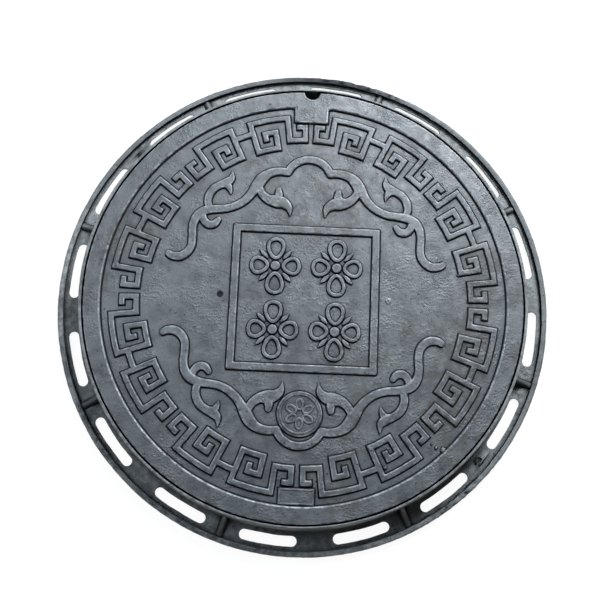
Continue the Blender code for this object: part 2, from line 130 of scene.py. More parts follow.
def bitumen_paint(name, colour, thin_paint_and_fill, dirt_and_shade, gloss, shine):
    """Black paint over cast iron: mottled, pitted and thin on the shoulders, with painted shade in corners,
    at feet and on shaded sides, and painted fill light on the frame's flange.
    """
    material = bpy.data.materials.new(name)
    material.use_nodes = True
    nodes, links = material.node_tree.nodes, material.node_tree.links
    shader = nodes["Principled BSDF"]
    place = nodes.new("ShaderNodeTexCoord").outputs["Object"]

    def grain(scale, detail):
        """Cloudy spots, so many to the metre."""
        texture = nodes.new("ShaderNodeTexNoise")
        texture.inputs["Scale"].default_value = scale
        texture.inputs["Detail"].default_value = detail
        texture.inputs["Roughness"].default_value = 0.6
        links.new(place, texture.inputs["Vector"])
        return texture.outputs["Fac"]

    def span(value, low, high, to_low=0.0, to_high=1.0):
        """Eases a value from one range to another."""
        ranged = nodes.new("ShaderNodeMapRange")
        ranged.interpolation_type = "SMOOTHSTEP"
        for socket, number in zip(ranged.inputs[1:5], (low, high, to_low, to_high)):
            socket.default_value = number
        links.new(value, ranged.inputs[0])
        return ranged.outputs[0]

    def sums(kind, a, b):
        """One step of arithmetic between two values."""
        node = nodes.new("ShaderNodeMath")
        node.operation = kind
        for socket, value in zip(node.inputs, (a, b)):
            if isinstance(value, float):
                socket.default_value = value
            else:
                links.new(value, socket)
        return node.outputs[0]

    def tint(amount, a, b):
        """Goes from one colour to another."""
        node = nodes.new("ShaderNodeMix")
        node.data_type = "RGBA"
        links.new(amount, node.inputs[0])
        for socket, value in zip(node.inputs[6:8], (a, b)):
            if isinstance(value, tuple):
                socket.default_value = (*value, 1.0)
            else:
                links.new(value, socket)
        return node.outputs[2]

    rub_and_light_value = nodes.new("ShaderNodeAttribute")
    rub_and_light_value.attribute_name = "wear_and_painted_light"
    # Painted shade: an AO node finds corners and hollows, and there the colour is darkened and the specular
    # cut.
    nook = nodes.new("ShaderNodeAmbientOcclusion")
    nook.samples = 6
    nook.inputs["Distance"].default_value = 0.009
    open_sky = span(nook.outputs["AO"], 0.50, 0.95)
    cloudy, mottled, sandy = grain(9.0, 5.0), grain(90.0, 4.0), grain(520.0, 3.0)
    deep = tuple(channel * 0.65 for channel in colour)
    pale = tuple(channel * 1.35 for channel in colour)
    stain = (0.022, 0.019, 0.016)
    base = tint(span(cloudy, 0.34, 0.66), deep, pale)
    base = tint(span(mottled, 0.48, 0.75, 0.0, 0.55), base, tuple(c * 1.7 for c in colour))
    base = tint(span(sandy, 0.60, 0.80, 0.0, 0.6), base, tuple(c * 0.35 for c in colour))
    # Rubbed paint on the shoulders, and on the frame's flange a painted fill light: the colour goes towards
    # the thin colour.
    thin_and_fill_mask = sums("MULTIPLY", span(rub_and_light_value.outputs["Fac"], 0.0, 1.0), span(mottled, 0.38, 0.64))
    base = tint(thin_and_fill_mask, base, thin_paint_and_fill)
    # Painted shade: where the value is below 0, at feet, in hollows and on shaded sides, the colour goes
    # towards the dark colour.
    low = sums("MULTIPLY", span(rub_and_light_value.outputs["Fac"], 0.0, -1.0), span(cloudy, 0.25, 0.50, 0.75, 1.0))
    base = tint(low, base, dirt_and_shade)
    stained = sums("MULTIPLY", span(grain(6.0, 6.0), 0.50, 0.66), span(grain(70.0, 5.0), 0.36, 0.62))
    base = tint(span(stained, 0.0, 1.0, 0.0, 0.60), base, stain)
    pitted = span(grain(300.0, 1.0), 0.67, 0.75)
    base = tint(span(pitted, 0.0, 1.0, 0.0, 0.80), base, dirt_and_shade)
    # Painted shade: the colour goes dark in the corners that the AO node finds.
    base = tint(open_sky, dirt_and_shade, base)
    links.new(base, shader.inputs["Base Color"])
    sheen = span(mottled, 0.3, 0.7, gloss - 0.04, gloss + 0.12)
    sheen = sums("ADD", sheen, span(low, 0.0, 1.0, 0.0, 0.25))
    sheen = sums("SUBTRACT", sheen, span(thin_and_fill_mask, 0.0, 1.0, 0.0, 0.15))
    links.new(sheen, shader.inputs["Roughness"])
    # The specular is cut in the painted shade too: in AO corners and where the value is below 0.
    clean = sums("MULTIPLY", open_sky, span(low, 0.0, 1.0, shine, 0.10))
    clean = sums("MULTIPLY", clean, span(stained, 0.0, 1.0, 1.0, 0.62))
    clean = sums("MULTIPLY", clean, span(pitted, 0.0, 1.0, 1.0, 0.30))
    clean = sums("MULTIPLY", clean, span(grain(34.0, 6.0), 0.30, 0.60, 0.70, 1.10))
    links.new(clean, shader.inputs["Specular IOR Level"])

    bumps = None
    rough_places = span(grain(16.0, 4.0), 0.44, 0.66, 0.12, 1.0)
    patchy = sums("MULTIPLY", span(grain(260.0, 4.0), 0.30, 0.70), rough_places)
    for value, strength, depth in (
        (span(grain(40.0, 3.0), 0.25, 0.75), 0.25, 0.0016),
        (patchy, 0.60, 0.0010),
        (span(grain(1100.0, 2.0), 0.25, 0.75), 0.36, 0.0002),
        (span(pitted, 0.0, 1.0, 1.0, 0.0), 0.20, 0.0005),
    ):
        bump = nodes.new("ShaderNodeBump")
        bump.inputs["Strength"].default_value = strength
        bump.inputs["Distance"].default_value = depth
        links.new(value, bump.inputs["Height"])
        if bumps:
            links.new(bumps, bump.inputs["Normal"])
        bumps = bump.outputs["Normal"]
    links.new(bumps, shader.inputs["Normal"])
    return material


frame_paint = bitumen_paint(
    "frame_paint", colour=(0.045, 0.048, 0.049), thin_paint_and_fill=(0.124, 0.128, 0.128), dirt_and_shade=(0.004, 0.004, 0.005),
    gloss=0.54, shine=0.30,
)
wall_run = (
    bend(wall_foot + foot_round, flange_top + foot_round, foot_round, 270, 180)
    + run((wall_foot, flange_top + foot_round), (wall_outer, ridge_top - 0.0013), 7)
    + [(wall_outer + 0.0002, ridge_top - 0.0031), (wall_outer, ridge_top - 0.0019)]
    + bend(wall_outer - ridge_round, ridge_top - ridge_round, ridge_round, 0, 90)
    + bend(wall_inner + inner_round, ridge_top - inner_round, inner_round, 90, 180)
    + run((wall_inner, ridge_top - inner_round), (bore_low, seat_top + bore_round), 6)
    + bend(bore_low - bore_round, seat_top + bore_round, bore_round, 0, -90)
    + bend(groove_outer + groove_round, seat_top - groove_round, groove_round, 90, 180, 2)
    + [(groove_outer, groove_floor + groove_bevel), (groove_outer - groove_bevel, groove_floor)]
    + [(groove_inner + groove_bevel, groove_floor), (groove_inner, groove_floor + groove_bevel)]
    + bend(groove_inner - groove_round, seat_top - groove_round, groove_round, 0, 90, 2)
    + bend(seat_edge + edge_round, seat_top - edge_round, edge_round, 90, 180, 3)
    + bend(seat_edge + edge_round, seat_low, edge_round, 180, 255, 3)
    + run((seat_edge + 0.0012, seat_low - edge_round), (under_bore - edge_round, haunch_low + 0.0016), 4)
    + bend(under_bore - edge_round, haunch_low, edge_round, 90, 0, 3)
    + [(under_bore, flange_top), (under_bore, 0.0010), (under_bore + 0.0010, 0.0)]
    + [(wall_foot - 0.0050, 0.0), (wall_foot + 0.0005, 0.0)]
)
lip_run = (
    bend(lip_inner - edge_round, flange_top + edge_round, edge_round, 270, 360, 3)
    + [(lip_inner, flange_top + 0.0040)]
    + bend(lip_inner + 0.0016, lip_top - 0.0022, 0.0016, 180, 97)
    + [(frame_radius - 0.0056, lip_top - 0.0003), (frame_radius - 0.0038, lip_top)]
    + bend(frame_radius - lip_round, lip_top - lip_round, lip_round, 90, 0, 6)
    + [(frame_radius, flange_top), (frame_radius, 0.0050), (frame_radius, 0.0010)]
    + [(frame_radius - 0.0010, 0.0), (frame_radius - 0.0045, 0.0), (lip_inner + 0.0015, 0.0)]
)


def frame_rub_and_painted_light(radius, height):
    """Thin paint on top of wall and lip; the flange painted lighter as painted fill light; painted shade on
    the wall's outer side and the lip's inner side.
    """
    if height > ridge_top - 0.0009:
        return 0.5
    if wall_outer - 0.0004 < radius < wall_foot + 0.0005 and height > 0.0150:
        return -0.30
    if radius > lip_inner + 0.0010 and height > lip_top - 0.0015:
        return 0.2
    if lip_inner - 0.0020 < radius < lip_inner + 0.0010 and height > flange_top + 0.0010:
        return -1.0
    on_flange = wall_foot + 0.0010 < radius < lip_inner - 0.0005 and height > flange_top / 2
    return 0.6 if on_flange else 0.0


work = new_work()
wall = [loop(work, turned(r, z, frame_columns), frame_rub_and_painted_light(r, z)) for r, z in wall_run]
lip = [loop(work, turned(r, z, frame_columns), frame_rub_and_painted_light(r, z)) for r, z in lip_run]
skin(work, wall)
skin(work, lip)


def around_slot(middle, grow, height):
    """Points round a slot, in step with the points round its sector of the flange."""
    half_angle = (slot_length - slot_width) / 2 / slot_radius
    half = slot_width / 2 + grow
    points = []
    for side in (-1, 1):
        end = middle - side * half_angle
        for k in range(sector_steps + 1):
            angle = middle + side * half_angle * (1 - 2 * k / sector_steps)
            wavy = 0.0007 * noise.noise((40.0 * angle / math.pi, side, 0.5))
            radius = slot_radius + side * half + wavy * math.sin(math.pi * k / sector_steps)
            points.append((radius * math.cos(angle), radius * math.sin(angle), height))
        for k in range(1, side_steps):
            turn = end + (math.pi if side < 0 else 0.0) - math.pi * k / side_steps
            points.append((
                slot_radius * math.cos(end) + half * math.cos(turn),
                slot_radius * math.sin(end) + half * math.sin(turn),
                height,
            ))
    return points


def around_socket(angle, grow, height):
    """Points round an anchor socket, from its side nearest the wall."""
    count = 2 * (side_steps - 2)
    turns = [angle + math.pi - 2 * math.pi * k / count for k in range(count)]
    x, y = slot_radius * math.cos(angle), slot_radius * math.sin(angle)
    radius = socket_radius + grow
    return [(x + radius * math.cos(turn), y + radius * math.sin(turn), height) for turn in turns]


sockets = {}
borders = []
for inner, outer, level in ((wall[0], lip[0], flange_top), (wall[-1], lip[-1], 0.0)):
    lines = {}
    for side in range(sectors):
        angle = 2 * math.pi * side / sectors
        if side in socket_sides and level > 0.0:
            hole = loop(work, around_socket(angle, socket_rim, level), 0.1)
            sockets[angle] = hole
            half = len(hole) // 2
            lines[side] = ([hole[0]] + hole[:half:-1] + [hole[half]], hole[:half + 1])
        else:
            inside, outside = inner[side * sector_steps].co, outer[side * sector_steps].co
            # The flange between the slots is painted lighter too, as painted fill light.
            line = loop(work, run(inside, outside, side_steps), 0.6)
            lines[side] = (line, line)
    borders.append([
        [inner[(k * sector_steps + i) % frame_columns] for i in range(sector_steps + 1)]
        + lines[(k + 1) % sectors][1]
        + [outer[((k + 1) * sector_steps - i) % frame_columns] for i in range(sector_steps + 1)]
        + lines[k][0][::-1]
        for k in range(sectors)
    ])
# Steps of (grow, height, value): the slot rims are rubbed thin, and the slot walls are painted dark as
# painted shade.
slot_steps = [
    (0.0014, 0.0080, 0.6), (0.0007, 0.0079, 0.7), (0.0002, 0.0075, 0.4), (0.0, 0.0066, -0.8),
    (0.0012, 0.0040, -1.0), (0.0028, 0.0012, -1.0), (0.0036, 0.0, -1.0),
]
# Painted shade: the sockets are painted dark inside.
socket_steps = [
    (0.0012, 0.0001, 0.6), (0.0003, 0.0006, 0.0), (-0.0002, 0.0018, -1.0), (-0.0007, 0.0046, -1.0),
    (-0.0014, 0.0058, -1.0), (-0.0036, socket_depth, -1.0),
]
for k in range(sectors):
    middle = 2 * math.pi * (k + 0.5) / sectors
    rings = [loop(work, around_slot(middle, grow, z), rub_and_painted_light) for grow, z, rub_and_painted_light in slot_steps]
    skin(work, [borders[0][k]] + rings + [borders[1][k]])
for angle, mouth in sockets.items():
    rings = []
    for grow, drop, rub_and_painted_light in socket_steps:
        rings.append(loop(work, around_socket(angle, grow, flange_top - drop), rub_and_painted_light))
    skin(work, [mouth] + rings)
    work.faces.new(rings[-1])

fin_count, fin_inner, fin_length, fin_height = 8, 0.3570, 0.0330, 0.0355
fin_places = [0.3540, 0.3595] + [0.3640 + 0.0050 * i for i in range(7)]
for k in range(fin_count):
    turn = Matrix.Rotation(2 * math.pi * (k + 0.5) / fin_count, 3, "Z")
    rings = []
    for radius in fin_places:
        share = (radius - fin_inner) / fin_length
        top = fin_height - 0.0425 * share + 0.0195 * share * share
        # The fins are painted darker all over, most near their feet, as painted shade.
        half_section = [
            (0.0085, 0.0068, -0.2), (0.0064, 0.0085, -0.7), (0.0048, 0.0106, -0.6),
            (0.0031, top - 0.0014, -0.4), (0.0020, top - 0.0003, -0.2),
        ]
        section = [(-w, z, rub_and_painted_light) for w, z, rub_and_painted_light in half_section] + [(0.0, top, -0.1)] + half_section[::-1]
        rings.append([loop(work, [turn @ Vector((radius, w, z))], rub_and_painted_light)[0] for w, z, rub_and_painted_light in section])
    skin(work, rings)
    work.faces.new(rings[0])
    work.faces.new(rings[-1])

torn_side, far_lip_shade_side, dragged_side, thin_side = 303.0, 80.0, 225.0, 70.0
tear_in, tear_down, wall_bend = 0.0030, 0.0034, 0.0120


def torn_edge(around):
    """How badly the lip is torn: most on the near right, some on the far side, a little all round."""
    return max(0.13, 1.0 - abs(around - torn_side) / 20.0, 0.45 - abs(around - thin_side) / 60.0)


def swollen_wall(around, height):
    """How much thicker than the plain section the wall is: most on the left and right, at the top."""
    turn = math.radians(around)
    thick = 0.0022 * abs(math.cos(turn)) + 0.0010 * max(0.0, math.sin(turn))
    return thick * min(1.0, abs(around - thin_side) / 25.0) * min(1.0, (height - wall_bend) / 0.0500)


roughen(work, 0.00035, 0.00018)
wear_and_painted_light = work.verts.layers.float["wear_and_painted_light"]
for vert in work.verts:
    reach = math.hypot(vert.co.x, vert.co.y)
    around = math.degrees(math.atan2(vert.co.y, vert.co.x)) % 360.0
    if reach > lip_inner - 0.0020 and vert.co.z > flange_top + 0.0005:
        torn = torn_edge(around)
        bite = max(0.0, 0.25 + noise.noise(vert.co * 95.0) + 0.7 * noise.noise(vert.co * 240.0))
        shrink = 1.0 - tear_in * torn * bite / reach
        vert.co = (vert.co.x * shrink, vert.co.y * shrink, vert.co.z - tear_down * torn * bite)
        # The lip's top is painted darker on the far side, as painted shade that tones down the sheen there,
        # and its torn bites are painted dark as painted shade in the tears.
        dragged = max(0.0, math.cos(math.radians(around - dragged_side)))
        far_lip_shade = max(0.0, 1.0 - abs(around - far_lip_shade_side) / 40.0)
        vert[wear_and_painted_light] += 0.8 * dragged - 0.85 * far_lip_shade - 2.0 * max(0.0, torn - 0.1) * bite
        reach = math.hypot(vert.co.x, vert.co.y)
    if wall_outer - 0.0013 < reach < wall_foot + 0.0005 and vert.co.z > wall_bend:
        thick = swollen_wall(around, vert.co.z)
        vert.co = (vert.co.x * (1.0 + thick / reach), vert.co.y * (1.0 + thick / reach), vert.co.z)
        reach += thick
    inside = min(1.0, frame_radius / reach)
    vert.co = (vert.co.x * inside, vert.co.y * inside, min(max(vert.co.z, 0.0), frame_height))
made("frame_casting", work, frame_paint, "frame", ["frame"])

# Seat ring. A moulded strip of black rubber, pressed into the groove of the frame's seat, so
# that the cover doesn't rattle. Its top corners are round, and dust clings to it.
rubber = bpy.data.materials.new("seat_rubber_dusty")
rubber.use_nodes = True
rubber_nodes, rubber_links = rubber.node_tree.nodes, rubber.node_tree.links
rubber_shader = rubber_nodes["Principled BSDF"]
rubber_shader.inputs["Roughness"].default_value = 0.82
rubber_place = rubber_nodes.new("ShaderNodeTexCoord")
rubber_dust = rubber_nodes.new("ShaderNodeTexNoise")
rubber_dust.inputs["Scale"].default_value = 60.0
rubber_dust.inputs["Detail"].default_value = 6.0
rubber_links.new(rubber_place.outputs["Object"], rubber_dust.inputs["Vector"])
rubber_tones = rubber_nodes.new("ShaderNodeValToRGB")
rubber_tones.color_ramp.elements[0].position = 0.35
rubber_tones.color_ramp.elements[0].color = (0.016, 0.016, 0.017, 1.0)
rubber_tones.color_ramp.elements[1].position = 0.75
rubber_tones.color_ramp.elements[1].color = (0.060, 0.058, 0.055, 1.0)
rubber_links.new(rubber_dust.outputs["Fac"], rubber_tones.inputs["Fac"])
rubber_links.new(rubber_tones.outputs["Color"], rubber_shader.inputs["Base Color"])
rubber_bump = rubber_nodes.new("ShaderNodeBump")
rubber_bump.inputs["Strength"].default_value = 0.3
rubber_bump.inputs["Distance"].default_value = 0.0003
rubber_links.new(rubber_dust.outputs["Fac"], rubber_bump.inputs["Height"])
rubber_links.new(rubber_bump.outputs["Normal"], rubber_shader.inputs["Normal"])

ring_inner, ring_outer, ring_foot, ring_top = 0.3335, 0.3435, 0.0275, 0.0343
ring_round, ring_bevel, ring_columns = 0.0020, 0.0015, 240
ring_run = (
    bend(ring_inner + ring_round, ring_top - ring_round, ring_round, 180, 90)
    + [((ring_inner + ring_outer) / 2, ring_top)]
    + bend(ring_outer - ring_round, ring_top - ring_round, ring_round, 90, 0)
    + [(ring_outer, ring_foot + ring_bevel), (ring_outer - 0.0002, ring_foot)]
    + [(ring_inner + 0.0002, ring_foot), (ring_inner, ring_foot + ring_bevel)]
)
work = new_work()
rings = [loop(work, turned(r, z, ring_columns)) for r, z in ring_run]
skin(work, rings + rings[:1])
made("seat_ring", work, rubber, "gasket", ["gasket"])

# Cover plate. One iron casting: a flat field, a raised rim band with a square tab at the pick
# notch, and underneath a skirt that rests on the rubber and ribs that stiffen the plate.
cover_turn = Matrix.Rotation(math.radians(-5.0), 3, "Z")
cover_radius, cover_top, field_top, plate_under, cover_foot = 0.3485, 0.0650, 0.0610, 0.0510, 0.0346
band_radius, skirt_radius = 0.3220, 0.3300
pocket_half, pocket_back, foot_radius = 0.0220, 0.3350, 0.3470
tab_half, tab_reach, notch_radius = 0.0275, 0.0270, 0.0125
tab_steps, tab_side_steps, cover_columns, middle_column = 20, 14, 480, 240
column_steps = range(-cover_columns // 2, cover_columns // 2)
cover_paint = bitumen_paint(
    "cover_paint", colour=(0.013, 0.0155, 0.018), thin_paint_and_fill=(0.095, 0.100, 0.110), dirt_and_shade=(0.003, 0.003, 0.004),
    gloss=0.485, shine=0.58,
)


def from_notch(radius, degrees):
    """A place on the cover, by its angle from the pick notch."""
    turn = math.radians(degrees)
    return Vector((radius * math.sin(turn), radius * math.cos(turn)))


def column_angles(at_tab, at_side):
    """Angles of all columns: so far across the tab, so far past its side, then evenly round."""
    angles = []
    for step in column_steps:
        count = abs(step)
        if count <= tab_steps:
            angle = at_tab * count / tab_steps
        elif count <= tab_steps + tab_side_steps:
            angle = at_tab + (at_side - at_tab) * (count - tab_steps) / tab_side_steps
        else:
            rest = cover_columns // 2 - tab_steps - tab_side_steps
            angle = at_side + (180.0 - at_side) * (count - tab_steps - tab_side_steps) / rest
        angles.append(math.copysign(angle, step))
    return angles


def eased(points, corners, reach, times):
    """Rounds the corners of a closed outline a little."""
    points = list(points)
    count = len(points)
    for _ in range(times):
        old = list(points)
        for corner in corners:
            for i in range(corner - reach, corner + reach + 1):
                before, here, after = (old[(i + shift) % count] for shift in (-1, 0, 1))
                points[i % count] = (before + 2 * here + after) / 4
    return points


def band_line(grow):
    """The rim band's inner edge with its tab, moved into the field by grow."""
    half, low, ring = tab_half + grow, band_radius - tab_reach - grow, band_radius - grow
    side_angle = math.degrees(math.asin(half / ring))
    top = math.sqrt(ring**2 - half**2)
    points = []
    for step, angle in zip(column_steps, column_angles(0.0, side_angle)):
        count = abs(step)
        if count <= tab_steps:
            points.append(Vector((half * step / tab_steps, low)))
        elif count <= tab_steps + tab_side_steps:
            share = (count - tab_steps) / tab_side_steps
            points.append(Vector((math.copysign(half, step), low + (top - low) * share)))
        else:
            points.append(from_notch(ring, angle))
    tab_corners = (tab_steps, tab_steps + tab_side_steps)
    corners = [middle_column + side * corner for side in (-1, 1) for corner in tab_corners]
    return eased(points, corners, 2, 2)


def rim_line(inset):
    """The cover's edge with its pick notch, moved inwards by inset."""
    ring, bite = cover_radius - inset, notch_radius + inset
    meet = (ring**2 + cover_radius**2 - bite**2) / (2 * cover_radius)
    across = math.sqrt(ring**2 - meet**2)
    widest = math.atan2(across, cover_radius - meet)
    side_angle = math.degrees(math.atan2(across, meet))
    points = []
    for step, angle in zip(column_steps, column_angles(side_angle, 6.0)):
        if abs(step) <= tab_steps:
            turn = widest * step / tab_steps
            points.append(Vector((bite * math.sin(turn), cover_radius - bite * math.cos(turn))))
        else:
            points.append(from_notch(ring, angle))
    return eased(points, [middle_column - tab_steps, middle_column + tab_steps], 1, 2)


def pocket_line(inset):
    """The cover's foot with the pry pocket under the notch, moved inwards by inset."""
    half, back, ring = pocket_half + inset, pocket_back - inset, foot_radius - inset
    side_angle = math.degrees(math.asin(half / ring))
    points = []
    for step, angle in zip(column_steps, column_angles(0.0, side_angle)):
        count = abs(step)
        if count <= tab_steps:
            points.append(Vector((half * step / tab_steps, back)))
        elif count <= tab_steps + tab_side_steps:
            share = (count - tab_steps) / tab_side_steps
            top = math.sqrt(ring**2 - half**2)
            points.append(Vector((math.copysign(half, step), back + (top - back) * share)))
        else:
            points.append(from_notch(ring, angle))
    return points


field_angles = column_angles(5.4, 7.9)
field_radius, ring_step, fine_step = 0.2840, 0.0040, 0.0010
mark_reach, mark_radius = 0.1334, 0.0054
field_rings = [ring_step * k for k in range(1, round(field_radius / ring_step) + 1)]
field_rings = [radius for radius in field_rings if abs(radius - mark_reach) > 0.0075]
field_rings = sorted(field_rings + [mark_reach + fine_step * k for k in range(-6, 7)])


def at_height(points, height):
    """Lifts flat points of the cover to a height, with the cover turned in its frame."""
    return [cover_turn @ Vector((point.x, point.y, height)) for point in points]


work = new_work()
rings = []
for radius in field_rings:
    flat = [from_notch(radius, angle) for angle in field_angles]
    rings.append(loop(work, at_height(flat, field_top)))
band_foot = band_line(0.0024)
field_edge = [from_notch(field_radius, angle) for angle in field_angles]
for share in (0.15, 0.3, 0.45, 0.6, 0.75, 0.88, 0.97):
    flat = [a.lerp(b, share) for a, b in zip(field_edge, band_foot)]
    rings.append(loop(work, at_height(flat, field_top)))
# Painted shade: the field at the band's foot and the band's riser are painted dark; its shoulder is rubbed
# thin.
for grow, drop, rub_and_painted_light in (
    (0.0022, 0.0040, -0.9), (0.0014, 0.0039, -1.0), (0.0010, 0.0034, -1.0),
    (0.0006, 0.0020, -0.6), (0.0003, 0.0014, 0.0), (-0.0004, 0.0007, 0.9),
    (-0.0012, 0.00025, 1.0), (-0.0022, 0.0, 0.8), (-0.0030, 0.0, 0.1),
):
    rings.append(loop(work, at_height(band_line(grow), cover_top - drop), rub_and_painted_light))
band_in, rim_in = band_line(-0.0040), rim_line(0.0032)
for share in (0.0, 0.2, 0.4, 0.6, 0.8, 1.0):
    flat = [a.lerp(b, share) for a, b in zip(band_in, rim_in)]
    rings.append(loop(work, at_height(flat, cover_top), 0.1))
for inset, drop, rub_and_painted_light in (
    (0.0022, 0.0000, 0.2), (0.0014, 0.0001, 0.8), (0.0006, 0.0004, 1.0), (0.0002, 0.0009, 0.9),
    (0.0, 0.0018, 0.2), (0.0003, 0.0080, 0.0), (0.0007, 0.0155, 0.0),
):
    rings.append(loop(work, at_height(rim_line(inset), cover_top - drop), rub_and_painted_light))
for inset, height, rub_and_painted_light in (
    (0.0, 0.0490, 0.0), (0.0, 0.0460, 0.0), (0.0, 0.0400, 0.0), (0.0, 0.0354, 0.2), (0.0007, cover_foot, 0.3),
):
    rings.append(loop(work, at_height(pocket_line(inset), height), rub_and_painted_light))
skirt_run = [
    (skirt_radius + 0.0018, cover_foot), (skirt_radius + 0.0004, 0.0350), (skirt_radius, 0.0362),
    (skirt_radius - 0.0014, 0.0430), (skirt_radius - 0.0024, 0.0478), (skirt_radius - 0.0036, 0.0499),
    (skirt_radius - 0.0062, 0.0509),
]
under_run = [(radius, plate_under) for radius in (0.3180, 0.2800, 0.2200, 0.1600, 0.1000, 0.0400)]
for radius, height in skirt_run + under_run:
    flat = [from_notch(radius, angle) for angle in column_angles(3.4, 6.0)]
    rings.append(loop(work, at_height(flat, height)))
skin(work, rings)
for ring, height in ((rings[0], field_top), (rings[-1], plate_under)):
    hub = loop(work, [(0.0, 0.0, height)])[0]
    for i, vert in enumerate(ring):
        work.faces.new((vert, ring[(i + 1) % cover_columns], hub))
roughen(work, 0.00022, 0.00007)
pit, bump_ring = (cover_turn @ Vector((side * mark_reach, 0.0012, field_top)) for side in (-1, 1))
wear_and_painted_light = work.verts.layers.float["wear_and_painted_light"]
for vert in work.verts:
    vert.co.z = min(vert.co.z, cover_top)
    if vert.co.z > plate_under + 0.0050:
        in_pit = (vert.co - pit).xy.length / mark_radius
        on_ring = (vert.co - bump_ring).xy.length / mark_radius
        # Painted shade: the pit and the hollow in the middle of the ring are painted dark; the ring's crest
        # is rubbed thin.
        if in_pit < 1.0:
            vert.co.z -= 0.0017 * (1.0 - in_pit**2)
            vert[wear_and_painted_light] = -0.85
        if on_ring < 1.0:
            crest = math.sin(math.pi * on_ring)
            vert.co.z += 0.0011 * crest**2 - 0.0005 * (1.0 - on_ring) ** 2
            vert[wear_and_painted_light] = 0.8 * crest - 0.7 * (on_ring < 0.3)
made("cover_plate", work, cover_paint, "cover", ["cover"])

# Ribs. They are cast in one with the plate: a hub ring, a middle ring and eight spokes, each
# a little narrower at its foot so that the casting leaves the sand.
hub_radius, middle_radius, rib_columns, spoke_count = 0.060, 0.190, 160, 8
spoke_start, spoke_length, spoke_steps = 0.058, 0.2740, 40
rib_run = [
    (0.0054, 0.0520), (0.0046, 0.0500), (0.0042, 0.0470), (0.0034, 0.0382), (0.0022, 0.0368), (0.0, 0.0366),
]
rib_section = [(-w, z) for w, z in rib_run[:-1]] + rib_run[::-1]
work = new_work()
for radius in (hub_radius, middle_radius):
    rings = [loop(work, turned(radius + w, z, rib_columns)) for w, z in rib_section]
    skin(work, rings + rings[:1])
for k in range(spoke_count):
    turn = cover_turn @ Matrix.Rotation(2 * math.pi * (k + 0.5) / spoke_count, 3, "Z")
    places = [spoke_start + spoke_length * i / spoke_steps for i in range(spoke_steps + 1)]
    rings = [loop(work, [turn @ Vector((r, w, z)) for w, z in rib_section]) for r in places]
    skin(work, rings)
    work.faces.new(rings[0])
    work.faces.new(rings[-1])
roughen(work, 0.0002, 0.0001)
made("cover_ribs", work, cover_paint, "cover")

# Fret ring. Eight modules of the key pattern stand up from the field, cast in one with it:
# each is a stroke that hooks round and winds in, with its mirror image, on one crossbar.
fret_count, fret_radius, fret_stroke, fret_bar_depth = 8, 0.3045, 0.0083, 0.0172
fret_hook = [(17.9, 0.0172), (20.6, 0.0172), (20.6, 0.0395), (15.1, 0.0395), (15.1, 0.0), (3.2, 0.0)]
fret_spiral = [(3.2, 0.0502), (10.7, 0.0502), (10.7, 0.0225), (7.0, 0.0225), (7.0, 0.0358)]


def fret_side(walk, half):
    """One side of the stroke, as angle and radius. Legs run round the ring or along a radius."""
    legs = list(zip(walk, walk[1:]))
    points = []
    for i, (degrees, depth) in enumerate(walk):
        shift = rise = 0.0
        for (a0, d0), (a1, d1) in legs[max(i - 1, 0):i + 1]:
            if a0 == a1:
                shift = math.copysign(half, half * (d1 - d0))
            else:
                rise = math.copysign(half, half * (a1 - a0))
        radius = fret_radius - depth
        points.append((math.radians(degrees) + shift / radius, radius + rise))
    return points


def fret_corners(grow):
    """A module's corners: hook and spiral on one side, the crossbar, then the mirror image."""
    walk = fret_hook + fret_spiral
    (first, first_depth), (last, last_depth) = walk[0], walk[-1]
    walk[0] = (first - math.degrees(grow / (fret_radius - first_depth)), first_depth)
    walk[-1] = (last, last_depth + grow)
    half = fret_stroke / 2 + grow
    inner, outer = fret_side(walk, -half), fret_side(walk, half)
    turn = len(fret_hook)
    bar, bar_angle = fret_radius - fret_bar_depth, inner[turn - 1][0]
    side = [(bar_angle, bar - half)] + inner[turn:] + outer[::-1] + inner[:turn]
    side.append((bar_angle, bar + half))
    return side + [(-angle, radius) for angle, radius in side[::-1]]


def fret_outline(middle, grow):
    """A module's outline, widened by grow, with points along its legs."""
    points = []
    plain, wide = fret_corners(0.0), fret_corners(grow)
    for i, (angle, radius) in enumerate(wide):
        on_angle, on_radius = wide[(i + 1) % len(wide)]
        (a0, r0), (a1, r1) = plain[i], plain[(i + 1) % len(plain)]
        steps = max(1, round(max(abs(a1 - a0) * r0, abs(r1 - r0)) / 0.0040))
        points += [
            (angle + (on_angle - angle) * k / steps, radius + (on_radius - radius) * k / steps)
            for k in range(steps)
        ]
    return [Vector((r * math.cos(middle + a), r * math.sin(middle + a))) for a, r in points]


def rounded(points, outside, inside):
    """A closed outline with round corners: one radius for outside corners, another for inside ones."""
    count = len(points)
    result = []
    for i, point in enumerate(points):
        back, on = points[i - 1] - point, points[(i + 1) % count] - point
        if back.angle(on) > math.radians(140):
            result.append(point)
            continue
        radius = outside if back.x * on.y - back.y * on.x < 0 else inside
        start = point + back.normalized() * min(radius, back.length * 0.45)
        end = point + on.normalized() * min(radius, on.length * 0.45)
        for k in range(5):
            t = k / 4
            result.append(start * (1 - t) ** 2 + point * 2 * t * (1 - t) + end * t * t)
    return result


def raised(work, outlines, steps):
    """A solid that stands up from the field, with one outline for each (distance, height, rubbed paint and
    painted shade).
    """
    rings = []
    for outline, (_, height, rub_and_painted_light) in zip(outlines, steps):
        rings.append(loop(work, at_height(outline, field_top + height), rub_and_painted_light))
    skin(work, rings)
    work.faces.new(rings[0])
    work.faces.new(rings[-1])


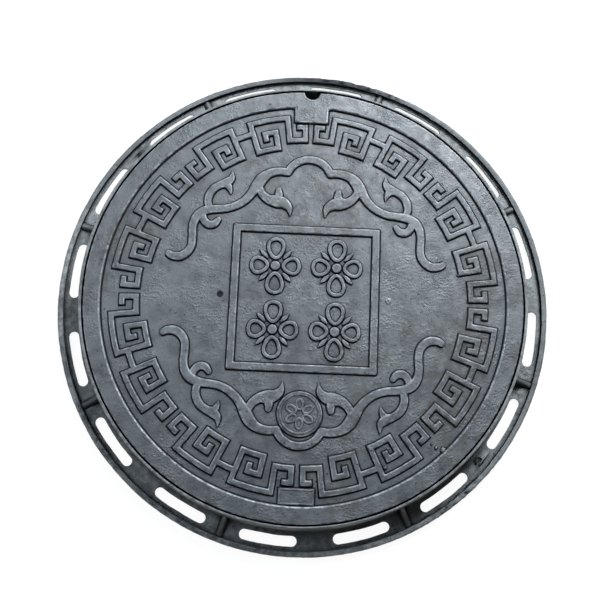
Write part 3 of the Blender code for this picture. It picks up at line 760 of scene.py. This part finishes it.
# Steps of (distance, height, value): the feet and sides are painted dark as painted shade round the relief,
# and the shoulders are rubbed thin.
relief_steps = [
    (0.0024, -0.0010, -0.9), (0.0022, 0.0001, -0.9), (0.0010, 0.0004, -1.0), (0.0003, 0.0018, -0.9),
    (0.0000, 0.0027, -0.2), (-0.0005, 0.0032, 0.9), (-0.0012, 0.0035, 0.9), (-0.0018, 0.0036, 0.4),
    (-0.0026, 0.0036, 0.1),
]
relief_rough = (0.00015, 0.00010)
work = new_work()
for k in range(fret_count):
    middle = math.pi / 2 + 2 * math.pi * (k + 0.5) / fret_count
    outlines = [
        rounded(fret_outline(middle, grow), max(0.0006, 0.0020 + grow), max(0.0006, 0.0016 - grow))
        for grow, _, _ in relief_steps
    ]
    raised(work, outlines, relief_steps)
roughen(work, *relief_rough)
made("fret_ring", work, cover_paint, "cover")

# Cloud scrolls. Round strokes of changing width in four mirrored quarters, with an arch over
# each pair, cast in one with the field. They were carved by hand in the wooden pattern, so they
# are crowned and taper to points.
free_radius, scroll_stroke = 0.2502, 0.0122
cloud = [
    (-0.137, 0.832, 1.0), (-0.200, 0.836, 1.05), (-0.262, 0.818, 1.2), (-0.306, 0.780, 1.5),
    (-0.336, 0.730, 1.5), (-0.366, 0.682, 1.15), (-0.404, 0.634, 1.05), (-0.458, 0.594, 1.0),
    (-0.524, 0.570, 1.0), (-0.594, 0.562, 1.05), (-0.650, 0.552, 1.15), (-0.694, 0.526, 1.25),
    (-0.724, 0.482, 1.1), (-0.734, 0.426, 1.0), (-0.731, 0.372, 1.0), (-0.734, 0.314, 1.0),
    (-0.756, 0.270, 1.05), (-0.800, 0.240, 1.1), (-0.848, 0.240, 1.0), (-0.876, 0.254, 0.85),
]
inner_leaf = [
    (-0.326, 0.724, 1.0), (-0.296, 0.674, 1.05), (-0.254, 0.642, 1.25), (-0.204, 0.632, 1.65),
    (-0.158, 0.622, 1.4), (-0.122, 0.588, 0.9), (-0.112, 0.536, 0.08),
]
bud = [(-0.200, 0.634, 1.3), (-0.192, 0.676, 1.05), (-0.194, 0.706, 0.8)]
outer_curl = [
    (-0.628, 0.556, 0.9), (-0.646, 0.604, 0.95), (-0.640, 0.654, 1.0), (-0.614, 0.698, 1.0),
    (-0.574, 0.726, 1.0), (-0.532, 0.744, 1.2), (-0.502, 0.776, 0.85), (-0.500, 0.828, 0.08),
]
barb = [(-0.552, 0.738, 1.0), (-0.522, 0.722, 0.9), (-0.506, 0.692, 0.55), (-0.500, 0.666, 0.10)]
small_hook = [
    (-0.678, 0.524, 0.9), (-0.664, 0.484, 0.95), (-0.634, 0.458, 1.0), (-0.597, 0.462, 0.95),
    (-0.572, 0.492, 0.7),
]
arch_radius, arch_middle, arch_half_angle = 0.150, 0.775, 66.0
arch = []
for k in range(-4, 5):
    turn = math.radians(arch_half_angle * k / 4)
    arch.append((arch_radius * math.sin(turn), arch_middle + arch_radius * math.cos(turn), 1.0))


def smooth(points, samples):
    """A curve through points of any number of values, by the Catmull-Rom rule."""
    padded = [points[0]] + list(points) + [points[-1]]
    path = []
    for a, b, c, d in zip(padded, padded[1:], padded[2:], padded[3:]):
        for step in range(samples):
            t = step / samples
            path.append(tuple(
                0.5 * (2 * q + (r - p) * t + (2 * p - 5 * q + 4 * r - s) * t**2
                       + (3 * q - p - 3 * r + s) * t**3)
                for p, q, r, s in zip(a, b, c, d)
            ))
    return path + [points[-1]]


def stroke(work, path, tall, closed=False):
    """A raised stroke along (x, y, width) points on the field, with round ends where it isn't closed."""
    path = [Vector(point) for point in path]
    count = len(path)
    stations = []
    for i, point in enumerate(path):
        before = path[i - 1] if closed or i else path[0]
        after = path[(i + 1) % count] if closed else path[min(i + 1, count - 1)]
        along = (after - before).xy.normalized()
        stations.append((point.xy, along, point.z, 1.0))
    if not closed:
        for end, way in ((0, -1.0), (-1, 1.0)):
            place, along, width, _ = stations[end]
            tips = []
            for turn in (25, 50, 70, 83):
                reach = math.sin(math.radians(turn)) * width / 2
                share = math.cos(math.radians(turn))
                tips.append((place + along * way * reach, along, width * share, 0.55 + 0.45 * share))
            stations = tips[::-1] + stations if way < 0 else stations + tips
    rings = []
    for place, along, width, lift in stations:
        across = Vector((along.y, -along.x))
        half = width / 2
        foot = min(0.0024, 0.6 * half)
        ease = min(0.0013, 0.35 * half)
        # Painted shade at the stroke's feet and sides, rubbed paint on its shoulders.
        section = [
            (half + foot, -0.0010, -0.9), (half + 0.85 * foot, 0.0001, -0.9),
            (half + 0.45 * foot, 0.0006, -1.0), (half + 0.15 * foot, 0.50 * tall, -0.8),
            (half - 0.1 * ease, 0.78 * tall, -0.1), (half - 0.5 * ease, 0.93 * tall, 0.9),
            (half - ease, 0.99 * tall, 0.8), (0.5 * (half - ease), tall, 0.2),
        ]
        whole = [(-w, z, rub_and_painted_light) for w, z, rub_and_painted_light in section] + [(0.0, tall, 0.3)] + section[::-1]
        ring = []
        for w, z, rub_and_painted_light in whole:
            flat = place + across * w
            height = field_top + (z * lift if z > 0 else z)
            ring += loop(work, [cover_turn @ Vector((flat.x, flat.y, height))], rub_and_painted_light)
        rings.append(ring)
    skin(work, rings + rings[:1] if closed else rings)
    if not closed:
        work.faces.new(rings[0])
        work.faces.new(rings[-1])


work = new_work()
for up in (1, -1):
    drawn = [arch]
    for side in (1, -1):
        for line in (cloud, inner_leaf, bud, outer_curl, barb, small_hook):
            drawn.append([(side * x, y, width) for x, y, width in line])
    for number, line in enumerate(drawn):
        line = [(x * free_radius, up * y * free_radius, width * scroll_stroke) for x, y, width in line]
        stroke(work, smooth(line, 8), 0.0036 - 0.00004 * (number % 7))
roughen(work, *relief_rough)
made("cloud_scrolls", work, cover_paint, "cover")

# Square border. A plain raised frame of iron round the middle of the field. It is cast in one
# with the plate, and its corners are a little round so that the pattern leaves the sand.
square_side, square_border = 0.2350, 0.0115
work = new_work()
rings = []
border_steps = [(-distance, height, rub_and_painted_light) for distance, height, rub_and_painted_light in relief_steps]
border_steps += [(square_border + distance, height, rub_and_painted_light) for distance, height, rub_and_painted_light in relief_steps[::-1]]
for inset, height, rub_and_painted_light in border_steps:
    half = square_side / 2 - inset
    corner = max(0.0006, 0.0030 - 0.5 * inset)
    outline = []
    for k in range(4):
        turn = Matrix.Rotation(math.pi / 2 * k, 2)
        for share in [i / 40 for i in range(41)]:
            outline.append(turn @ Vector((half, (2 * share - 1) * (half - corner))))
        for degrees in (22.5, 45.0, 67.5):
            reach = Vector((math.cos(math.radians(degrees)), math.sin(math.radians(degrees)))) * corner
            outline.append(turn @ (Vector((half - corner, half - corner)) + reach))
    rings.append(loop(work, at_height(outline, field_top + height), rub_and_painted_light))
skin(work, rings + rings[:1])
roughen(work, *relief_rough)
made("square_border", work, cover_paint, "cover")

# Florets. Four plain four-petal flowers fill the square, drawn in a thin raised line. They are
# cast in one with the field, like all the relief.


def disc(middle, radius, count):
    """Flat points of a circle on the cover."""
    turns = [2 * math.pi * i / count for i in range(count)]
    return [middle + Vector((math.cos(turn), math.sin(turn))) * radius for turn in turns]


work = new_work()
floret_line, floret_tall, leaf_tall, heart_radius = 0.0056, 0.0034, 0.0032, 0.0075
petal_start, petal_half, long_petal, short_petal = 0.0125, 0.0150, 0.044, 0.038
leaf_start, leaf_step, leaf_widths = 0.018, 0.003, (0.5, 0.9, 1.15, 1.2, 1.0, 0.6, 0.1)
for x, y in ((-0.048, 0.051), (0.050, 0.051), (-0.048, -0.052), (0.050, -0.052)):
    for k in range(4):
        turn = Matrix.Rotation(math.pi / 2 * (k + 1), 2)
        long = long_petal if k % 2 == 0 else short_petal
        petal = []
        for step in range(24):
            angle = 2 * math.pi * step / 24
            along = (1 - math.cos(angle)) / 2
            reach = petal_start + (long - petal_start) * along
            side = petal_half * math.sin(angle) * (0.60 + 0.40 * along)
            place = turn @ Vector((reach, side))
            petal.append((x + place.x, y + place.y, floret_line))
        stroke(work, petal, floret_tall, closed=True)
        between = Matrix.Rotation(math.radians(45), 2) @ turn
        leaf = []
        for i, width in enumerate(leaf_widths):
            place = between @ Vector((leaf_start + leaf_step * i, 0.0))
            leaf.append((x + place.x, y + place.y, floret_line * width))
        stroke(work, leaf, leaf_tall)
    hearts = [disc(Vector((x, y)), heart_radius + grow, 24) for grow, _, _ in relief_steps]
    raised(work, hearts, relief_steps)
roughen(work, *relief_rough)
made("florets", work, cover_paint, "cover")

# Medallion. A low round plate of iron under the lower arch, with a ring and a small six-petal
# flower on it in a thin raised line. It is cast in one with the field.
medallion_place, medallion_radius, medallion_ring = Vector((0.0, -0.1825)), 0.0350, 0.0300
flower_start, flower_length, flower_half, petal_count = 0.0065, 0.0165, 0.0052, 6
flower_line, flower_tall, thin_line, thin_tall = 0.0038, 0.0036, 0.0034, 0.0034
medallion_steps = [(d, 0.6 * h, rub_and_painted_light) for d, h, rub_and_painted_light in relief_steps]
work = new_work()
plates = [disc(medallion_place, medallion_radius + grow, 96) for grow, _, _ in medallion_steps]
raised(work, plates, medallion_steps)
for k in range(petal_count):
    sixth = Matrix.Rotation(2 * math.pi * (k + 0.5) / petal_count, 2)
    petal = []
    for step in range(16):
        turn = 2 * math.pi * step / 16
        reach = flower_start + flower_length * (1 - math.cos(turn)) / 2
        side = flower_half * math.sin(turn)
        place = medallion_place + sixth @ Vector((reach, side))
        petal.append((place.x, place.y, flower_line))
    stroke(work, petal, flower_tall, closed=True)
ring = [(point.x, point.y, thin_line) for point in disc(medallion_place, medallion_ring, 72)]
stroke(work, ring, thin_tall, closed=True)
roughen(work, *relief_rough)
made("medallion", work, cover_paint, "cover")

# Label block. A plain raised plate of iron by the rim band, straight across from the tab, with
# a thin raised border. It is cast in one with the field.
block_low, block_high, block_corner = -band_radius + 0.0020, -band_radius + tab_reach, 0.0020
border_inset, border_line, border_tall = 0.0020, 0.0030, 0.0029


def around_block(grow, counts):
    """Points along the block's four sides, moved outwards by grow: so many along each side."""
    left, right, low, high = -tab_half - grow, tab_half + grow, block_low - grow, block_high + grow
    corners = [Vector(corner) for corner in ((left, low), (right, low), (right, high), (left, high))]
    points = []
    for i, corner in enumerate(corners):
        points += [corner] + [Vector(point) for point in run(corner, corners[(i + 1) % 4], counts[i % 2])]
    return points


work = new_work()
block_steps = [(grow, 0.60 * height, rub_and_painted_light) for grow, height, rub_and_painted_light in relief_steps]
outlines = [
    rounded(around_block(grow, (10, 10)), block_corner + 0.5 * grow, block_corner)
    for grow, _, _ in block_steps
]
raised(work, outlines, block_steps)
border = [(point.x, point.y, border_line) for point in around_block(-border_inset, (24, 16))]
stroke(work, border, border_tall, closed=True)
roughen(work, *relief_rough)
made("label_block", work, cover_paint, "cover")

# Slag bits. Small drops of iron and slag that ran into loose sand of the mould, most of them on
# the near right of the field. They are cast in one with it and were never ground off.
slag_bits = [
    (0.2119, -0.2250, 0.0030), (0.2228, -0.2285, 0.0056), (0.1342, -0.2589, 0.0034),
    (0.2050, -0.2200, 0.0018), (-0.0370, 0.0090, 0.0020), (0.2440, 0.0480, 0.0024),
    (-0.2180, -0.1450, 0.0022),
]
# Painted shade at the feet of the slag bits, rubbed paint on their tops.
slag_steps = [
    (1.0, -0.0010, -1.0), (0.95, 0.0003, -1.0), (0.80, 0.0017, -0.4),
    (0.50, 0.0026, 0.5), (0.20, 0.0030, 0.8),
]
work = new_work()
for x, y, radius in slag_bits:
    outlines = []
    for share, _, _ in slag_steps:
        outline = []
        for point in disc(Vector((0.0, 0.0)), radius * share, 18):
            lump = 0.45 * noise.noise((900.0 * (x + point.x), 900.0 * (y + point.y), 0.5))
            outline.append(Vector((x, y)) + point * (1.0 + lump))
        outlines.append(outline)
    raised(work, outlines, slag_steps)
made("slag_bits", work, cover_paint, "cover")

# Studio. A white sheet under the object, pale walls all round, a large soft light high on the
# far side with a weaker one on the left, and the camera above the near side.
floor_reach, floor_level = 6.0, -0.0005
floor_sides = ((-1, -1), (1, -1), (1, 1), (-1, 1))
floor_corners = [(x * floor_reach, y * floor_reach, floor_level) for x, y in floor_sides]
floor_mesh = bpy.data.meshes.new("floor")
floor_mesh.from_pydata(floor_corners, [], [(0, 1, 2, 3)])
floor = bpy.data.objects.new("floor", floor_mesh)
bpy.context.scene.collection.objects.link(floor)
sheet = bpy.data.materials.new("white_sheet")
sheet.use_nodes = True
sheet_nodes, sheet_links = sheet.node_tree.nodes, sheet.node_tree.links
sheet_nodes["Principled BSDF"].inputs["Base Color"].default_value = (0.9, 0.9, 0.9, 1.0)
sheet_nodes["Principled BSDF"].inputs["Roughness"].default_value = 0.9
sheet_glow = sheet_nodes.new("ShaderNodeEmission")
sheet_glow.inputs["Strength"].default_value = 1.0
sheet_path = sheet_nodes.new("ShaderNodeLightPath")
sheet_add = sheet_nodes.new("ShaderNodeMixShader")
sheet_seen = sheet_path.outputs["Is Camera Ray"]
for ray in ("Is Glossy Ray", "Is Transmission Ray"):
    either = sheet_nodes.new("ShaderNodeMath")
    either.operation = "MAXIMUM"
    sheet_links.new(sheet_seen, either.inputs[0])
    sheet_links.new(sheet_path.outputs[ray], either.inputs[1])
    sheet_seen = either.outputs[0]
sheet_share = sheet_nodes.new("ShaderNodeMath")
sheet_share.operation = "MULTIPLY"
sheet_share.inputs[1].default_value = 0.94
sheet_links.new(sheet_seen, sheet_share.inputs[0])
sheet_links.new(sheet_share.outputs[0], sheet_add.inputs[0])
sheet_links.new(sheet_nodes["Principled BSDF"].outputs[0], sheet_add.inputs[1])
sheet_links.new(sheet_glow.outputs[0], sheet_add.inputs[2])
sheet_links.new(sheet_add.outputs[0], sheet_nodes["Material Output"].inputs[0])
floor_mesh.materials.append(sheet)

world = bpy.data.worlds.new("studio")
bpy.context.scene.world = world
world.use_nodes = True
sky = world.node_tree.nodes["Background"]
sky.inputs["Color"].default_value = (0.97, 0.99, 1.0, 1.0)
sky_way = world.node_tree.nodes.new("ShaderNodeTexCoord")
sky_parts = world.node_tree.nodes.new("ShaderNodeSeparateXYZ")
sky_strength = world.node_tree.nodes.new("ShaderNodeMapRange")
sky_strength.interpolation_type = "SMOOTHSTEP"
for socket, number in zip(sky_strength.inputs[1:5], (0.25, 0.55, 1.0, 0.10)):
    socket.default_value = number
world.node_tree.links.new(sky_way.outputs["Generated"], sky_parts.inputs[0])
world.node_tree.links.new(sky_parts.outputs["Z"], sky_strength.inputs[0])
world.node_tree.links.new(sky_strength.outputs[0], sky.inputs["Strength"])

for name, place, size, power, colour in (
    ("far_softbox", (0.98, 1.70, 1.9), 0.9, 262.0, (0.92, 0.995, 1.06)),
    ("left_softbox", (-1.35, 0.60, 2.1), 1.2, 48.0, (0.87, 0.99, 1.11)),
):
    light = bpy.data.lights.new(name, "AREA")
    light.size = size
    light.energy = power
    light.color = colour
    lamp = bpy.data.objects.new(name, light)
    lamp.location = place
    lamp.rotation_euler = (Vector((0.0, 0.0, 0.05)) - lamp.location).to_track_quat("-Z", "Y").to_euler()
    bpy.context.scene.collection.objects.link(lamp)

tilt, swing, roll, reach = math.radians(11.82), math.radians(-8.36), math.radians(5.80), 1.4223
picture_side, picture_middle_x, picture_middle_y = 600.0, 304.17, 297.89
camera = bpy.data.cameras.new("camera")
camera.sensor_width = 36.0
camera.lens = 54.0
camera.shift_x = (picture_side / 2 - picture_middle_x) / picture_side
camera.shift_y = (picture_middle_y - picture_side / 2) / picture_side
stand = bpy.data.objects.new("camera", camera)
held = Matrix.Rotation(swing, 3, "Z") @ Matrix.Rotation(tilt, 3, "X") @ Matrix.Rotation(roll, 3, "Z")
stand.location = Vector((0.0, 0.0, frame_height)) + held @ Vector((0.0, 0.0, reach))
stand.rotation_euler = held.to_euler()
bpy.context.scene.collection.objects.link(stand)
bpy.context.scene.camera = stand
bpy.context.scene.view_settings.view_transform = "Standard"

bpy.context.view_layer.update()
